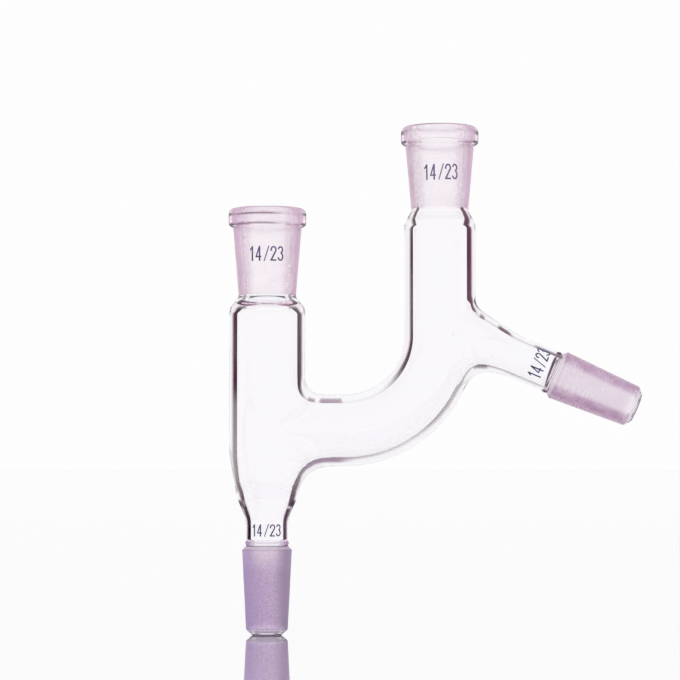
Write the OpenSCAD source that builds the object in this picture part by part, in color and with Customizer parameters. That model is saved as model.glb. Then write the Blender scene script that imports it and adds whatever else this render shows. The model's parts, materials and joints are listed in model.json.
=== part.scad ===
// Claisen distillation adapter, blown and ground from borosilicate glass tube.
// It is one solid: a straight main tube with a ground cone below and a ground
// socket above, a side arm that bends up into a second socket, and a slanted
// arm that ends in a second ground cone.
// Frame: +Z up along the main tube, +X towards the second tube, millimetres.
// Origin: on the lower cone's axis, in its gauge plane, the wide end of the taper.

/* [Ground joints] */
// Diameter of each 1:10 ground taper at its wide end
joint_d = 14.5; // [14:0.1:15]
// Length of the ground surface on the two cones
cone_len = 23; // [20:0.5:25]
// Clear fire-polished tip beyond the ground surface of a cone
tip_len = 1.8; // [1.4:0.1:2.6]
// Depth of the ground taper in the top socket
top_socket_len = 25.6; // [23:0.2:27]
// Depth of the ground taper in the second socket
side_socket_len = 24; // [22:0.2:26]
// Outer diameter of the rim bead on each socket
rim_d = 22.7; // [22:0.1:24]
// Height of the rim bead
rim_h = 5.4; // [4.6:0.1:6.4]

/* [Necks] */
// Outer diameter of the narrow necks behind the cones
neck_d = 12.3; // [12:0.1:12.8]
// Bore of the narrow necks
neck_bore = 9.4; // [9:0.1:9.8]
// Height of the neck's top end above the lower cone's gauge plane
neck_top = 8.8; // [7:0.2:10]

/* [Main tube] */
// Outer diameter of the main tube
tube_d = 22.2; // [21.6:0.1:23]
// Bore of the main tube
tube_bore = 17.6; // [17:0.1:18.2]
// Height at which the flare has grown to the full diameter
flare_top = 28; // [26:0.5:30]
// Height of the top socket's rim
top_z = 99.7; // [94:0.5:106]
// Height of the rounded shoulder below the top socket
top_shoulder = 2.8; // [2.6:0.1:3.4]

/* [Side arm] */
// Outer diameter of the side arm and the second tube
arm_d = 20.9; // [20.4:0.1:21.4]
// Bore of the side arm and the second tube
arm_bore = 15.8; // [15.2:0.1:16.4]
// Height of the side arm's axis where it leaves the main tube
arm_z = 34.8; // [33:0.2:38]
// Distance from the main tube's axis to the start of the bend
arm_run = 22.8; // [21:0.2:26]
// Radius of the bend's centreline
bend_r = 27.8; // [26:0.2:30]
// Height of the second socket's rim
side_z = 123.8; // [120:0.5:128]
// Height of the tapering shoulder below the second socket
side_shoulder = 4.4; // [3.6:0.2:5.4]

/* [Slanted arm] */
// Slope of the slanted arm below the horizontal, degrees
slant = 23; // [18:0.5:28]
// Height at which the slanted arm's axis leaves the second tube's axis
slant_z = 65.6; // [64:0.2:70]
// Distance along the slanted arm from the second tube's axis to the cone's gauge plane
slant_len = 37.5; // [36:0.5:42]

/* [Hidden] */
$fn = 96;
glass = [0.90, 0.87, 0.94, 0.55];
taper = 1 / 20;                 // radius lost per unit of length on a 1:10 cone
side_x = arm_run + bend_r;      // axis of the second tube
bend_z = arm_z + bend_r;        // height of the bend's centre
joint_r = joint_d / 2;
neck_r = neck_d / 2;
bore_r = neck_bore / 2;
rim_r = rim_d / 2;
tip_z = -cone_len - tip_len;
arc_n = 7;                      // straight steps in each rounded corner

function unit(v) = v / norm(v);
function flat(p) = [p[0], p[1]];

// The corner at q, between p and s, rounded to radius r
function corner(p, q, s, r) =
    r <= 0 ? [q] :
    let (u = unit(p - q), v = unit(s - q),
         half = acos(u * v) / 2,
         c = q + unit(u + v) * (r / sin(half)),
         a = q + u * (r / tan(half)) - c,
         b = q + v * (r / tan(half)) - c,
         a0 = atan2(a[1], a[0]),
         turn = atan2(b[1], b[0]) - a0,
         sweep = turn > 180 ? turn - 360 : turn < -180 ? turn + 360 : turn)
    [for (i = [0:arc_n]) let (k = a0 + sweep * i / arc_n) c + r * [cos(k), sin(k)]];

// A closed outline of [radius, height, corner radius] points with its corners rounded
function rounded(path) =
    let (n = len(path))
    [for (i = [0:n - 1])
        each corner(flat(path[(i + n - 1) % n]), flat(path[i]), flat(path[(i + 1) % n]), path[i][2])];

module turned(path) {
    rotate_extrude() polygon(rounded(path));
}

// Outside of a ground cone, from its fire-polished tip up to the start of its neck.
// The taper runs from joint_r at height 0 down past -cone_len, and a chamfer drawn in
// by the flame leads to the tip. A small collar runs round the foot of the neck, where
// the cone was joined to it.
function cone_outside() = [
    [0, tip_z, 0],
    [joint_r - 2.75, tip_z, 0.28],
    [joint_r - 2.65, tip_z + 0.4, 0.3],
    [joint_r - taper * (cone_len + 0.3), -cone_len - 0.3, 0.9],
    [joint_r, 0, 0.25],
    [neck_r + 0.07, 1.0, 0.3],
    [neck_r - 0.1, 1.3, 0.2],
    [neck_r + 0.25, 1.85, 0.45],
    [neck_r, 2.6, 0.6]
];

// Bore of a ground cone, drawn in by the flame at the tip and a little wider behind
// the taper's wide end than in the neck
function cone_inside() = [
    [0, tip_z - 1, 0],
    [joint_r - 3.65, tip_z - 1, 0],
    [joint_r - 3.45, tip_z + 0.9, 1.5],
    [joint_r - 2.65, tip_z + 3, 6],
    [5.2, -0.8, 1.4],
    [bore_r, 2.2, 1.4]
];

// Outside of a socket with its rim bead, over a shoulder of height drop on a tube
// of radius r
function socket_outside(r, top, depth, drop) =
    let (foot = top - depth)
    [
        [r, foot - drop, 4],
        [8.3, foot - 0.7, 1.8],
        [10.0, top - rim_h - 0.2, 0.5],
        [rim_r, top - rim_h + 0.5, 1.1],
        [rim_r, top, 1.7],
        [0, top, 0]
    ];

// Bore of the same: the shoulder, a throat of the given length and the ground 1:10 taper
function socket_inside(r, top, depth, drop, throat) =
    let (foot = top - depth)
    [
        [r, foot - drop - 1.4, 3],
        [6.2, foot - throat, 1],
        [joint_r - taper * depth, foot, 0],
        [joint_r - taper * 0.35, top - 0.35, 0],
        [joint_r + 0.35, top, 0],
        [joint_r + 0.35, top + 1, 0],
        [0, top + 1, 0]
    ];

module main_outside() {
    r = tube_d / 2;
    turned(concat(cone_outside(),
        [[neck_r, neck_top, 8],
         [r - 2.35, neck_top + 6.2, 15],
         [r, flare_top, 40]],
        socket_outside(r, top_z, top_socket_len, top_shoulder)));
}

module main_inside() {
    r = tube_bore / 2;
    turned(concat(cone_inside(),
        [[bore_r, neck_top, 8],
         [r - 0.75, flare_top - 8.4, 16],
         [r, flare_top - 1, 25]],
        socket_inside(r, top_z, top_socket_len, top_shoulder, 2.1)));
}

// Second tube: from the end of the bend up to its socket
module side_outside() {
    r = arm_d / 2;
    translate([side_x, 0, 0])
        turned(concat([[0, bend_z, 0], [r, bend_z, 0]],
            socket_outside(r, side_z, side_socket_len, side_shoulder)));
}

module side_inside() {
    r = arm_bore / 2;
    translate([side_x, 0, 0])
        turned(concat([[0, bend_z, 0], [r, bend_z, 0]],
            socket_inside(r, side_z, side_socket_len, side_shoulder, 0.9)));
}

// Side arm: a straight run from the main tube's axis, then a quarter bend upwards
module run_and_bend(r) {
    translate([0, 0, arm_z]) rotate([0, 90, 0]) cylinder(h = arm_run, r = r);
    translate([arm_run, 0, bend_z]) rotate([90, 0, 0]) rotate([0, 0, -90])
        rotate_extrude(angle = 90) translate([bend_r, 0]) circle(r = r);
}

// Places the slanted arm: its own +Z runs from the cone back towards the second tube
module along_slant() {
    translate([side_x + slant_len * cos(slant), 0, slant_z - slant_len * sin(slant)])
        rotate([0, slant - 90, 0]) children();
}

module slant_outside() {
    along_slant() turned(concat(cone_outside(),
        [[neck_r, slant_len - 23, 30],
         [7.6, slant_len - 14.5, 30],
         [9.2, slant_len - 6.5, 14],
         [arm_d / 2 - 0.3, slant_len - 2, 0],
         [0, slant_len - 2, 0]]));
}

module slant_inside() {
    along_slant() turned(concat(cone_inside(),
        [[bore_r, slant_len - 22, 30],
         [6.1, slant_len - 13, 30],
         [arm_bore / 2 - 0.3, slant_len - 2, 0],
         [0, slant_len - 2, 0]]));
}

// The whole adapter: everything outside, less everything inside
module glass_body() {
    color(glass) difference() {
        union() {
            main_outside();
            run_and_bend(arm_d / 2);
            side_outside();
            slant_outside();
        }
        union() {
            main_inside();
            run_and_bend(arm_bore / 2);
            side_inside();
            slant_inside();
        }
    }
}

glass_body();
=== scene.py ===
import json
import math

import bpy
import bmesh
import numpy as np
from mathutils import Matrix, Vector


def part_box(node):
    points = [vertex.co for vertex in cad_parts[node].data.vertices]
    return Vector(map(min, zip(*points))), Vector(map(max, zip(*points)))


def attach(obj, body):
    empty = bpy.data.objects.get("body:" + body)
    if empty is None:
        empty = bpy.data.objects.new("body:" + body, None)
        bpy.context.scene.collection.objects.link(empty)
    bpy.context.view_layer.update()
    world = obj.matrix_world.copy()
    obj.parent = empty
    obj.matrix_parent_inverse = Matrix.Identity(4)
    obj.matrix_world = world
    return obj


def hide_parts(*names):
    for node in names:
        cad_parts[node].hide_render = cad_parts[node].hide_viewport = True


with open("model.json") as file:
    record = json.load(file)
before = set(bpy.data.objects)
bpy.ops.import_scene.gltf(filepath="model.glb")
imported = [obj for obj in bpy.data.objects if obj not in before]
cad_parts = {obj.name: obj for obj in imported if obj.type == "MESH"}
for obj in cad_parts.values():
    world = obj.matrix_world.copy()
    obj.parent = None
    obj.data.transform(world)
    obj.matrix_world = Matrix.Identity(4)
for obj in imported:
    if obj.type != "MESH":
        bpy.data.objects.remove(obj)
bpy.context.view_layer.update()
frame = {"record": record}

mounts = {m["name"]: m for m in frame["record"]["mounts"]}
MM = 0.001

# ---------------------------------------------------------------- sizes, mm
TAPER = 1 / 20                       # radius lost per length on a 1:10 cone
JOINT_R = mounts["lower_cone"]["dims"]["r_mm"]
CONE = mounts["lower_cone"]["dims"]["length_mm"]
TIP_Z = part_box("glass_body")[0].z / MM
RIM_R, RIM_H = 11.35, 5.4
TOP_DROP, SIDE_DROP = 2.8, 4.4       # heights of the shoulders below the sockets
NECK_R, BORE_R, NECK_TOP = 6.15, 4.7, 8.8
TUBE_R, TUBE_IN, FLARE_TOP = 11.1, 8.8, 28.0
ARM_R, ARM_IN, ARM_Z, ARM_RUN, BEND_R = 10.45, 7.9, 34.8, 22.8, 27.8
BEND_Z = ARM_Z + BEND_R
TOP_Z = mounts["top_socket"]["pos_m"][2] / MM
TOP_LEN = mounts["top_socket"]["dims"]["length_mm"]
SIDE_X = mounts["side_socket"]["pos_m"][0] / MM
SIDE_Z = mounts["side_socket"]["pos_m"][2] / MM
SIDE_LEN = mounts["side_socket"]["dims"]["length_mm"]
GAUGE = np.array(mounts["outlet_cone"]["pos_m"]) / MM
OUT = np.array(mounts["outlet_cone"]["axis"], float)
BACK = -OUT                          # from the outlet cone back to the second tube
SLANT_LEN = float(np.linalg.norm(GAUGE[[0, 2]] - np.array([SIDE_X, 65.6])))
LIFT = np.array([-OUT[2], 0.0, OUT[0]])   # square to the outlet's axis, upwards
SEG = 96                             # sides of every turned surface


# ---------------------------------------------------------------- outlines
class Outline:
    """An open outline of [radius, height, corner radius] points, with the solid on its left."""

    def __init__(self, points, drop_first=False, drop_last=False):
        pts = [(np.array(p[:2], float), float(p[2])) for p in points]
        self.parts = []
        here = pts[0][0]
        for i in range(1, len(pts) - 1):
            p, q, s, r = pts[i - 1][0], pts[i][0], pts[i + 1][0], pts[i][1]
            u, v = (p - q) / np.linalg.norm(p - q), (s - q) / np.linalg.norm(s - q)
            half = math.acos(float(np.clip(u @ v, -1, 1))) / 2
            c = q + (u + v) / np.linalg.norm(u + v) * (r / math.sin(half))
            a, b = q + u * (r / math.tan(half)), q + v * (r / math.tan(half))
            if np.linalg.norm(a - here) > 1e-6 and not (drop_first and i == 1):
                self.parts.append(("line", here, a))
            a0 = math.atan2(*(a - c)[::-1])
            sweep = (math.atan2(*(b - c)[::-1]) - a0 + math.pi) % (2 * math.pi) - math.pi
            self.parts.append(("arc", c, r, a0, sweep))
            here = b
        if not drop_last:
            self.parts.append(("line", here, pts[-1][0]))

    def points(self, step, turn=11.0, arc_step=1.0):
        """Points along the outline; step(height) is the longest straight step there."""
        out = []
        for part in self.parts:
            if part[0] == "line":
                a, b = part[1], part[2]
                n = max(1, math.ceil(np.linalg.norm(b - a) / step((a[1] + b[1]) / 2) - 1e-6))
                if np.linalg.norm(b - a) > 6:      # a long line: walk it with its own steps
                    t, ts = 0.0, [0.0]
                    length = np.linalg.norm(b - a)
                    while t < length:
                        t += step((a + (b - a) * t / length)[1])
                        ts.append(t)
                    ks = np.array(ts) / ts[-1]
                else:
                    ks = np.linspace(0, 1, n + 1)
                new = [a + (b - a) * k for k in ks]
            else:
                _, c, r, a0, sweep = part
                local = min(arc_step, step(c[1] + r * math.sin(a0 + sweep / 2)))
                n = max(2, math.ceil(abs(math.degrees(sweep)) / turn), math.ceil(r * abs(sweep) / local))
                new = [c + r * np.array([math.cos(a0 + sweep * i / n), math.sin(a0 + sweep * i / n)]) for i in range(n + 1)]
            out += new[1:] if out and np.linalg.norm(out[-1] - new[0]) < 1e-5 else new
        kept = [out[0]] + [b for a, b in zip(out, out[1:-1]) if np.linalg.norm(b - a) > 0.055] + [out[-1]]
        return np.array(kept)

    def near(self, p):
        """Signed distance and outward normal at the points p, an array of [radius, height]."""
        best = np.full(len(p), 1e9)
        dist, nor = np.zeros(len(p)), np.zeros((len(p), 2))
        for part in self.parts:
            if part[0] == "line":
                a, b = part[1], part[2]
                ab = b - a
                t = np.clip((p - a) @ ab / (ab @ ab), 0, 1)
                n = np.array([ab[1], -ab[0]]) / np.linalg.norm(ab)
                off = p - (a + t[:, None] * ab)
                far = np.linalg.norm(off, axis=1)
                take = far < best - 1e-9
                dist[take] = np.copysign(far, off @ n)[take]
                nor[take] = n
            else:
                _, c, r, a0, sweep = part
                v = p - c
                length = np.maximum(np.linalg.norm(v, axis=1), 1e-9)
                turn = ((np.arctan2(v[:, 1], v[:, 0]) - a0) * np.sign(sweep)) % (2 * np.pi)
                far = np.abs(length - r)
                take = (turn <= abs(sweep) + 1e-9) & (far < best - 1e-9)
                s = 1.0 if sweep > 0 else -1.0
                dist[take] = (s * (length - r))[take]
                nor[take] = (s * v / length[:, None])[take]
            best = np.where(take, far, best)
        return dist, nor


def cone_outside(ring):
    return [
        [ring, TIP_Z, 0],
        [JOINT_R - 2.75, TIP_Z, 0.28],
        [JOINT_R - 2.65, TIP_Z + 0.4, 0.3],
        [JOINT_R - TAPER * (CONE + 0.3), -CONE - 0.3, 0.9],
        [JOINT_R, 0, 0.25],
        [NECK_R + 0.07, 1.0, 0.3],
        [NECK_R - 0.1, 1.3, 0.2],
        [NECK_R + 0.25, 1.85, 0.45],
        [NECK_R, 2.6, 0.6],
    ]


CONE_INSIDE = [
    [6.0, TIP_Z, 0],
    [JOINT_R - 3.55, TIP_Z, 0.26],
    [JOINT_R - 3.45, TIP_Z + 0.9, 1.5],
    [JOINT_R - 2.65, TIP_Z + 3, 6],
    [5.2, -0.8, 1.4],
    [BORE_R, 2.2, 1.4],
]


def socket_outside(r, top, depth, drop, ring):
    foot = top - depth
    return [
        [r, foot - drop, 4],
        [8.3, foot - 0.7, 2.5],
        [10.0, top - RIM_H - 0.2, 0.5],
        [RIM_R, top - RIM_H + 0.5, 1.1],
        [RIM_R, top, 1.7],
        [ring, top, 0],
    ]


def socket_inside(r, top, depth, drop, throat):
    foot = top - depth
    return [
        [r, foot - drop - 1.4, 3],
        [6.2, foot - throat, 3],
        [JOINT_R - TAPER * depth, foot, 2.5],
        [JOINT_R - TAPER * 0.35, top - 0.35, 0.25],
        [JOINT_R + 0.35, top, 0.22],
        [9.5, top, 0],
    ]


def ends(outline):
    """The first and last points of an outline's drawn part."""
    first, last = outline.parts[0], outline.parts[-1]
    at = lambda part, k: part[1 + k] if part[0] == "line" else part[1] + part[2] * np.array(
        [math.cos(part[3] + k * part[4]), math.sin(part[3] + k * part[4])])
    return at(first, 0), at(last, 1)


main_in = Outline(CONE_INSIDE + [
    [BORE_R, NECK_TOP, 8],
    [TUBE_IN - 0.75, FLARE_TOP - 8.4, 16],
    [TUBE_IN, FLARE_TOP - 1, 25],
] + socket_inside(TUBE_IN, TOP_Z, TOP_LEN, TOP_DROP, 2.1), drop_first=True, drop_last=True)
tip_ring, rim_ring = ends(main_in)[0][0], ends(main_in)[1][0]
main_out = Outline(cone_outside(tip_ring) + [
    [NECK_R, NECK_TOP, 8],
    [TUBE_R - 2.35, NECK_TOP + 6.2, 15],
    [TUBE_R, FLARE_TOP, 40],
] + socket_outside(TUBE_R, TOP_Z, TOP_LEN, TOP_DROP, rim_ring))
side_in = Outline([[ARM_IN, BEND_Z, 0]] + socket_inside(ARM_IN, SIDE_Z, SIDE_LEN, SIDE_DROP, 0.9), drop_last=True)
side_out = Outline([[ARM_R, BEND_Z, 0]] + socket_outside(ARM_R, SIDE_Z, SIDE_LEN, SIDE_DROP, rim_ring))
slant_in = Outline(CONE_INSIDE + [
    [BORE_R, SLANT_LEN - 22, 30],
    [6.1, SLANT_LEN - 13, 30],
    [ARM_IN - 0.3, SLANT_LEN - 2, 8],
    [ARM_IN - 0.3, SLANT_LEN + 1.5, 0],
], drop_first=True)
slant_out = Outline(cone_outside(tip_ring) + [
    [NECK_R, SLANT_LEN - 23, 30],
    [7.6, SLANT_LEN - 14.5, 30],
    [9.2, SLANT_LEN - 6.5, 14],
    [ARM_R - 0.3, SLANT_LEN - 2, 8],
    [ARM_R - 0.3, SLANT_LEN + 1.5, 0],
])


# ---------------------------------------------------------------- fields
def turned_field(outline, p, x0=0.0):
    """Distance and normal for an outline turned about the vertical axis at x0."""
    rho = np.maximum(np.hypot(p[:, 0] - x0, p[:, 1]), 1e-9)
    d, n = outline.near(np.stack([rho, p[:, 2]], 1))
    return d, np.stack([n[:, 0] * (p[:, 0] - x0) / rho, n[:, 0] * p[:, 1] / rho, n[:, 1]], 1)


def slant_field(outline, p):
    v = p - GAUGE
    h = v @ BACK
    side = v - h[:, None] * BACK
    rho = np.maximum(np.linalg.norm(side, axis=1), 1e-9)
    d, n = outline.near(np.stack([rho, h], 1))
    d = np.maximum(d, h - SLANT_LEN - 1.5)
    return d, n[:, :1] * side / rho[:, None] + n[:, 1:] * BACK


def pipe_field(r, outline, p):
    """The side arm: a straight run along X, a quarter bend, and the second tube above it."""
    d, n = turned_field(outline, p, SIDE_X)
    low = p[:, 2] < BEND_Z
    run = low & (p[:, 0] < ARM_RUN)
    bend = low & ~run
    q = p[run]
    off = np.stack([np.zeros(len(q)), q[:, 1], q[:, 2] - ARM_Z], 1)
    rho = np.maximum(np.linalg.norm(off, axis=1), 1e-9)
    d[run], n[run] = np.maximum(rho - r, -q[:, 0]), off / rho[:, None]
    q = p[bend]
    plane = np.stack([q[:, 0] - ARM_RUN, q[:, 2] - BEND_Z], 1)
    reach = np.maximum(np.linalg.norm(plane, axis=1), 1e-9)
    centre = plane / reach[:, None] * BEND_R
    off = np.stack([plane[:, 0] - centre[:, 0], q[:, 1], plane[:, 1] - centre[:, 1]], 1)
    rho = np.maximum(np.linalg.norm(off, axis=1), 1e-9)
    d[bend], n[bend] = rho - r, off / rho[:, None]
    return d, n


def smooth(x, a, b):
    t = np.clip((x - a) / (b - a), 0, 1)
    return t * t * (3 - 2 * t)


def melt(a, b, na, nb, k):
    """The smaller of two distances, with a fillet about k wide where the surfaces meet at an angle."""
    k = np.maximum(k * smooth((na * nb).sum(1), 0.97, 0.1), 0.3)
    h = np.clip(0.5 + 0.5 * (b - a) / k, 0, 1)
    return b * (1 - h) + a * h - k * h * (1 - h)


OUTER = dict(main=main_out, side=side_out, slant=slant_out, r=ARM_R,
             top=6.0, low=9.5, root_top=5.0, root_low=8.0)
INNER = dict(main=main_in, side=side_in, slant=slant_in, r=ARM_IN,
             top=8.0, low=11.0, root_top=7.0, root_low=10.0)


def field(f, p):
    """Distance to the whole melted surface, how near the second nearest part is, and how far the melting moved it."""
    a, na = turned_field(f["main"], p)
    b, nb = pipe_field(f["r"], f["side"], p)
    c, nc = slant_field(f["slant"], p)
    k = f["top"] + (f["low"] - f["top"]) * smooth(-p[:, 2], -ARM_Z - 7, -ARM_Z + 7)
    ab = melt(a, b, na, nb, k * smooth(p[:, 0], -4, 3))
    nab = np.where((a < b)[:, None], na, nb)
    lift = (p - GAUGE) @ LIFT
    k = f["root_low"] + (f["root_top"] - f["root_low"]) * smooth(lift, -6, 6)
    d = melt(ab, c, nab, nc, k * smooth(p[:, 0], SIDE_X - 6, SIDE_X + 0.5))
    order = np.sort(np.stack([a, b, c], 1), 1)
    return d, order[:, 1], order[:, 0] - d


def slope(f, p, e=0.004):
    g = np.stack([field(f, p + e * np.eye(3)[i])[0] - field(f, p - e * np.eye(3)[i])[0] for i in range(3)], 1)
    return g / np.maximum(np.linalg.norm(g, axis=1), 1e-12)[:, None]


def settle(f, p, times=1, e=0.01):
    """Moves the points p onto the melted surface."""
    for _ in range(times):
        d = field(f, p)[0]
        g = np.stack([field(f, p + e * np.eye(3)[i])[0] - d for i in range(3)], 1) / e
        p = p - np.clip(d, -0.8, 0.8)[:, None] * g / np.maximum((g * g).sum(1), 0.3)[:, None]
    return p


# ---------------------------------------------------------------- meshes
def rings_to_mesh(name, rings):
    """A closed mesh of SEG-sided rings, with one flat face at each end."""
    n = len(rings)
    verts = np.concatenate(rings)
    faces = [[(i * SEG + j), (i * SEG + (j + 1) % SEG), ((i + 1) * SEG + (j + 1) % SEG), ((i + 1) * SEG + j)]
             for i in range(n - 1) for j in range(SEG)]
    faces.append(list(range(SEG))[::-1])
    faces.append([(n - 1) * SEG + j for j in range(SEG)])
    me = bpy.data.meshes.new(name)
    me.from_pydata([tuple(v) for v in verts], [], faces)
    ob = bpy.data.objects.new(name, me)
    bpy.context.scene.collection.objects.link(ob)
    return ob


ANG = np.arange(SEG) * 2 * np.pi / SEG


def ring(centre, u, v, r):
    return centre + r * (np.cos(ANG)[:, None] * u + np.sin(ANG)[:, None] * v)


X, Y, Z = np.eye(3)


def main_mesh(f):
    fine = lambda z: 0.7 if 15 < z < 54 else 1.4
    return rings_to_mesh("main", [ring(np.array([0, 0, z]), X, Y, r) for r, z in f["main"].points(fine)])


def pipe_mesh(f):
    rings = []
    xs = [0.0, 1.2] + list(np.arange(1.9, ARM_RUN - 0.3, 0.68)) + [ARM_RUN]
    for x in xs:
        rings.append(ring(np.array([x, 0, ARM_Z]), -Z, Y, f["r"]))
    steps = 62
    for i in range(1, steps):
        t = math.pi / 2 * i / steps
        o = np.array([math.sin(t), 0, -math.cos(t)])
        rings.append(ring(np.array([ARM_RUN, 0, BEND_Z]) + BEND_R * o, o, Y, f["r"]))
    fine = lambda z: 0.7 if z < 84 else 1.4
    for r, z in f["side"].points(fine):
        rings.append(ring(np.array([SIDE_X, 0, z]), X, Y, r))
    return rings_to_mesh("pipe", rings)


def slant_mesh(f):
    fine = lambda z: 0.7 if z > 12 else 1.4
    return rings_to_mesh("slant", [ring(GAUGE + BACK * z, Y, LIFT, r) for r, z in f["slant"].points(fine)])


def fused(f):
    """One closed mesh round the main tube, the side arm and the slanted arm, melted together."""
    a, b, c = main_mesh(f), pipe_mesh(f), slant_mesh(f)
    for o in (a, b, c):
        bm = bmesh.new()
        bm.from_mesh(o.data)
        bmesh.ops.recalc_face_normals(bm, faces=bm.faces)
        bm.to_mesh(o.data)
        bm.free()
    for i, other in enumerate((b, c)):
        m = a.modifiers.new(f"u{i}", "BOOLEAN")
        m.operation, m.object, m.solver = "UNION", other, "MANIFOLD"
    deps = bpy.context.evaluated_depsgraph_get()
    me = bpy.data.meshes.new_from_object(a.evaluated_get(deps))
    for o in (a, b, c):
        old = o.data
        bpy.data.objects.remove(o)
        bpy.data.meshes.remove(old)
    bm = bmesh.new()
    bm.from_mesh(me)
    bpy.data.meshes.remove(me)
    bmesh.ops.remove_doubles(bm, verts=bm.verts, dist=0.01)
    seams = melted_part(f, bm)
    # short edges left where the three tubes cut each other
    for reach in (0.12, 0.3):
        bmesh.ops.remove_doubles(bm, verts=[v for v, s in zip(bm.verts, seams) if s], dist=reach)
        seams = melted_part(f, bm)
    bmesh.ops.dissolve_degenerate(bm, edges=bm.edges, dist=0.01)
    seams = melted_part(f, bm)
    faces = [fa for fa in bm.faces if any(seams[v.index] for v in fa.verts)
             and max(v.co.z for v in fa.verts) - min(v.co.z for v in fa.verts) < 5]
    bmesh.ops.triangulate(bm, faces=faces, quad_method="BEAUTY", ngon_method="BEAUTY")
    bm.verts.ensure_lookup_table()
    for rounds in range(3):
        relax(f, bm, 5)
        near = melted_part(f, bm)
        tri = [fa for fa in bm.faces if len(fa.verts) == 3 and all(near[v.index] for v in fa.verts)]
        edges = {e for fa in tri for e in fa.edges if len(e.link_faces) == 2 and all(len(g.verts) == 3 for g in e.link_faces)}
        bmesh.ops.beautify_fill(bm, faces=tri, edges=list(edges), method="ANGLE")
    relax(f, bm, 3)
    return bm


def points_of(bm):
    return np.array([v.co[:] for v in bm.verts], float)


def melted_part(f, bm):
    """True for each vertex in or beside a melted seam."""
    bm.verts.index_update()
    bm.verts.ensure_lookup_table()
    _, second, moved = field(f, points_of(bm))
    return (moved > 1e-4) | (second < 0.8)


def relax(f, bm, times):
    """Evens out the vertices round the seams, along the surface."""
    bm.verts.index_update()
    bm.verts.ensure_lookup_table()
    p = points_of(bm)
    inside = melted_part(f, bm)
    e = np.array([[x.verts[0].index, x.verts[1].index] for x in bm.edges])
    count = np.bincount(e.ravel(), minlength=len(p)).astype(float)
    ids = np.nonzero(inside)[0]
    for _ in range(times):
        total = np.zeros_like(p)
        np.add.at(total, e[:, 0], p[e[:, 1]])
        np.add.at(total, e[:, 1], p[e[:, 0]])
        p[ids] += 0.6 * (total[ids] / count[ids, None] - p[ids])
        p[ids] = settle(f, p[ids])
    p[ids] = settle(f, p[ids], 2)
    for i in ids:
        bm.verts[i].co = p[i]


ENDS = [  # centre of each open end, its outward axis, and the radius of the ring where inside meets outside
    (np.array([0, 0, TIP_Z]), -Z, tip_ring),
    (np.array([0, 0, TOP_Z]), Z, rim_ring),
    (np.array([SIDE_X, 0, SIDE_Z]), Z, rim_ring),
    (GAUGE + BACK * TIP_Z, OUT, tip_ring),
]


def opened(f, sign):
    """Points, normals and faces of a fused surface without the discs across its open ends."""
    bm = fused(f)
    p = points_of(bm)
    n = sign * slope(f, p)
    on_disc = np.zeros(len(p), bool)
    edge = np.zeros(len(p), bool)
    for centre, axis, r in ENDS:
        v = p - centre
        h = v @ axis
        rho = np.linalg.norm(v - h[:, None] * axis, axis=1)
        here = (np.abs(h) < 2e-3) & (rho < r + 2e-3)
        on_disc |= here
        edge |= here & (rho > r - 2e-3)
        n[here] = axis
    faces = [[v.index for v in fa.verts] for fa in bm.faces]
    bm.free()
    faces = [fa if sign > 0 else fa[::-1] for fa in faces if not all(on_disc[i] for i in fa)]
    return p, n, faces, edge


def zone(p, inner):
    """0 outside of the tubes, 1 lower ground cone, 2 outlet's, 3 ground socket, 4 bore behind a ground cone,
    5 inside of the tubes, 6 outside of a socket."""
    out = np.full(len(p), 5 if inner else 0)
    rho = np.hypot(p[:, 0], p[:, 1])
    v = p - GAUGE
    h = v @ BACK
    away = np.linalg.norm(v - h[:, None] * BACK, axis=1)
    if inner:
        out[(rho < 8) & (p[:, 2] > TOP_Z - TOP_LEN) & (p[:, 2] < TOP_Z - 0.12)] = 3
        out[(rho < 8) & (p[:, 2] > TIP_Z + 1) & (p[:, 2] < 0)] = 4
        out[(away < 8) & (h > TIP_Z + 1) & (h < 0)] = 4
        rho = np.hypot(p[:, 0] - SIDE_X, p[:, 1])
        out[(rho < 8) & (p[:, 2] > SIDE_Z - SIDE_LEN) & (p[:, 2] < SIDE_Z - 0.12)] = 3
    else:
        out[(rho < 8) & (p[:, 2] < 0.95) & (p[:, 2] > -CONE - 0.2)] = 1
        out[(away < 8) & (h < 0.95) & (h > -CONE - 0.2)] = 2
        out[(rho < 12) & (p[:, 2] > TOP_Z - TOP_LEN - 0.2)] = 6
        out[(np.abs(p[:, 0] - SIDE_X) < 12) & (p[:, 2] > SIDE_Z - SIDE_LEN - 0.2)] = 6
    return out


def glass_mesh():
    po, no, fo, eo = opened(OUTER, 1)
    pi, ni, fi, ei = opened(INNER, -1)
    # the inner surface shares the outer one's vertices round each open end
    at = np.nonzero(eo)[0]
    to = np.arange(len(pi)) + len(po)
    for i in np.nonzero(ei)[0]:
        gap = np.linalg.norm(po[at] - pi[i], axis=1)
        assert gap.min() < 0.005, gap.min()
        to[i] = at[gap.argmin()]
    fi = [[to[i] for i in fa] for fa in fi]
    verts = np.concatenate([po, pi])
    normals = np.concatenate([no, ni])
    used = np.zeros(len(verts), bool)
    for fa in fo + fi:
        used[list(fa)] = True
    index = np.cumsum(used) - 1
    faces = [[int(index[i]) for i in fa] for fa in fo + fi]
    centres = np.array([verts[list(fa)].mean(0) for fa in fo + fi])
    kinds = np.concatenate([zone(centres[:len(fo)], False), zone(centres[len(fo):], True)])
    me = bpy.data.meshes.new("claisen_adapter_glass")
    me.from_pydata((verts[used] * MM).tolist(), [], faces)
    me.polygons.foreach_set("material_index", kinds.astype(np.int32))
    me.polygons.foreach_set("use_smooth", np.ones(len(faces), bool))
    me.update()
    me.normals_split_custom_set_from_vertices(normals[used].tolist())
    return me


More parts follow.
